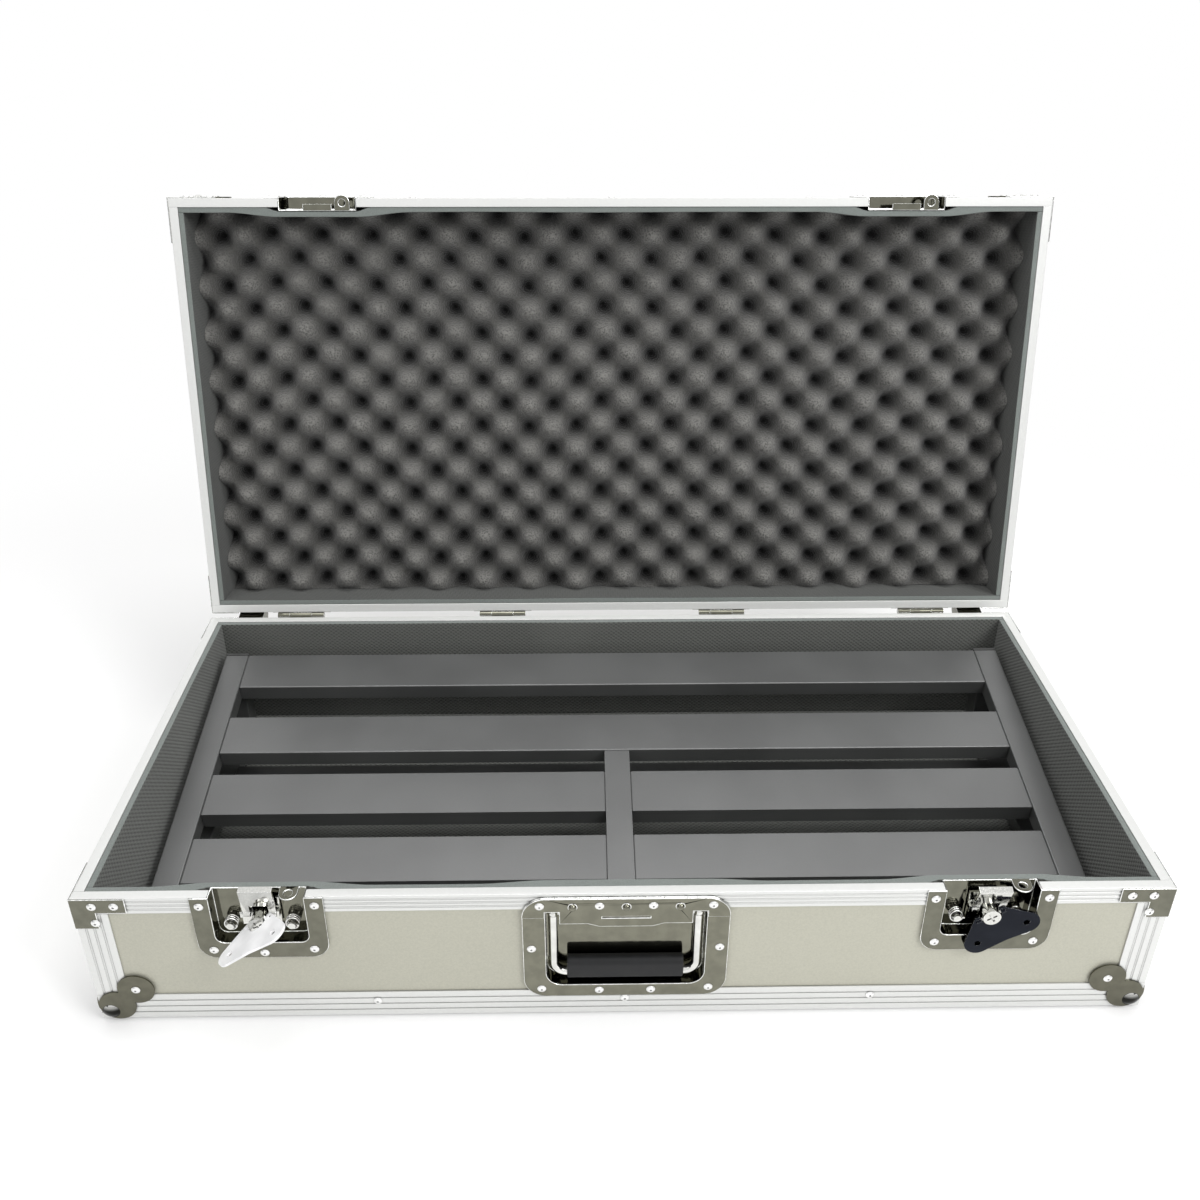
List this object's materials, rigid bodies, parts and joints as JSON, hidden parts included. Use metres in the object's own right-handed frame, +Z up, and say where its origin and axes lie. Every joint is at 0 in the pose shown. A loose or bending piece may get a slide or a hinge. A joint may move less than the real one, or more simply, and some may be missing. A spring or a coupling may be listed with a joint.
{
  "type": "guitar pedal case",
  "caption": "Hard case with a hinged lid on recessed latches, a recessed handle, foam linings and a sloping slatted pedal board that lifts out.",
  "frame": {"origin": "on the floor, midway between the four ball corners that the base stands on", "axes": "+X to the right along the case's width, +Y to the hinges at the back, +Z up"},
  "size_m": [0.8634, 0.6262, 0.5541],
  "materials": {
    "laminate": "satin warm grey laminate on plywood",
    "ribbed_strip": "bright anodised, ribbed",
    "nickel_plate": "bright nickel plate",
    "rivet_metal": "bright",
    "spring_steel": "zinc plated",
    "lining": "dark embossed foam sheet",
    "lid_lining": "dark foam",
    "egg_crate_foam": "charcoal convoluted foam",
    "grip_rubber": "black, matte",
    "board_black": "black powder coat, satin",
    "board_rubber": "black, matte"
  },
  "bodies": {
    "base": {"base_floor_panel": "laminate", "base_front_panel": "laminate", "base_rear_panel": "laminate", "base_side_panels": "laminate", "base_rim_strip_front": "ribbed_strip", "base_rim_strip_rear": "ribbed_strip", "base_rim_strip_sides": "ribbed_strip", "base_edge_strips": "ribbed_strip", "base_corner_strips": "ribbed_strip", "base_rim_braces": "nickel_plate", "base_ball_corners": "nickel_plate", "latch_dish_left": "nickel_plate", "latch_dish_right": "nickel_plate", "handle_dish": "nickel_plate", "handle_pivot_bracket": "nickel_plate", "base_hinge_leaves": "nickel_plate", "hinge_pins": "nickel_plate", "lid_stop_brackets": "nickel_plate", "latch_spring_posts": "nickel_plate", "base_rivets": "rivet_metal", "latch_springs": "spring_steel", "handle_springs": "spring_steel", "base_floor_liner": "lining", "base_wall_liners": "lining"},
    "lid": {"lid_top_panel": "laminate", "lid_front_panel": "laminate", "lid_rear_panel": "laminate", "lid_side_panels": "laminate", "lid_rim_strip_front": "ribbed_strip", "lid_rim_strip_rear": "ribbed_strip", "lid_rim_strip_sides": "ribbed_strip", "lid_edge_strips": "ribbed_strip", "lid_corner_strips": "ribbed_strip", "lid_rim_braces": "nickel_plate", "lid_ball_corners": "nickel_plate", "keeper_dish_left": "nickel_plate", "keeper_dish_right": "nickel_plate", "lid_hinge_leaves": "nickel_plate", "lid_stop_plates": "nickel_plate", "lid_rivets": "rivet_metal", "lid_wall_liners": "lid_lining", "lid_egg_crate_foam": "egg_crate_foam"},
    "board": {"board_side_rails": "board_black", "board_cross_rails": "board_black", "board_centre_brace": "board_black", "board_bottom_rails": "board_black", "board_rear_legs": "board_black", "board_lower_rail": "board_black", "board_feet": "board_rubber", "board_end_caps": "board_rubber"},
    "handle": {"handle_bail": "nickel_plate", "handle_grip": "grip_rubber"},
    "latch_slider_left": {"latch_slider_left": "nickel_plate"},
    "latch_hook_left": {"latch_hook_left": "nickel_plate"},
    "latch_cam_left": {"latch_cam_left": "nickel_plate"},
    "latch_leaf_left": {"latch_leaf_left": "nickel_plate"},
    "latch_slider_right": {"latch_slider_right": "nickel_plate"},
    "latch_hook_right": {"latch_hook_right": "nickel_plate"},
    "latch_cam_right": {"latch_cam_right": "nickel_plate"},
    "latch_leaf_right": {"latch_leaf_right": "nickel_plate"}
  },
  "joints": [
    {"name": "lid_hinge", "type": "hinge", "parent": "base", "child": "lid", "pos_m": [0, 0.2145, 0.1342], "axis": [-1, 0, 0], "range_deg": [-101.4, 0]},
    {"name": "board_lift", "type": "slide", "parent": "base", "child": "board", "axis": [0, 0, 1], "range_m": [0, 0.16]},
    {"name": "handle_swing", "type": "hinge", "parent": "base", "child": "handle", "pos_m": [0, -0.2059, 0.1105], "axis": [-1, 0, 0], "range_deg": [0, 90], "stiffness_Nm_per_rad": 0.08, "springref_deg": -22.92},
    {"name": "latch_cam_turn_left", "type": "hinge", "parent": "base", "child": "latch_cam_left", "pos_m": [-0.286, -0.2109, 0.111], "axis": [0, -1, 0], "range_deg": [-32, 148]},
    {"name": "latch_leaf_flip_left", "type": "hinge", "parent": "latch_cam_left", "child": "latch_leaf_left", "pos_m": [-0.286, -0.2153, 0.111], "axis": [0.848, 0, 0.5299], "range_deg": [-90, 0]},
    {"name": "latch_slider_rise_left", "type": "slide", "parent": "base", "child": "latch_slider_left", "axis": [0, 0, 1], "range_m": [-0.00329, 0.00071]},
    {"name": "latch_hook_lean_left", "type": "hinge", "parent": "latch_slider_left", "child": "latch_hook_left", "pos_m": [-0.286, -0.2069, 0.11329], "axis": [1, 0, 0], "range_deg": [-9, 11]},
    {"name": "latch_cam_turn_right", "type": "hinge", "parent": "base", "child": "latch_cam_right", "pos_m": [0.286, -0.2109, 0.111], "axis": [0, -1, 0], "range_deg": [-32, 30]},
    {"name": "latch_leaf_flip_right", "type": "hinge", "parent": "latch_cam_right", "child": "latch_leaf_right", "pos_m": [0.286, -0.2153, 0.111], "axis": [0.848, 0, 0.5299], "range_deg": [-90, 0]},
    {"name": "latch_slider_rise_right", "type": "slide", "parent": "base", "child": "latch_slider_right", "axis": [0, 0, 1], "range_m": [-0.00071, 0.00067]},
    {"name": "latch_hook_lean_right", "type": "hinge", "parent": "latch_slider_right", "child": "latch_hook_right", "pos_m": [0.286, -0.2069, 0.11071], "axis": [1, 0, 0], "range_deg": [-20, 0]}
  ],
  "couplings": [
    {"joint": "latch_cam_turn_left", "follows": "latch_slider_rise_left", "rad_per_m": -785.4},
    {"joint": "latch_cam_turn_right", "follows": "latch_slider_rise_right", "rad_per_m": 785.4}
  ]
}
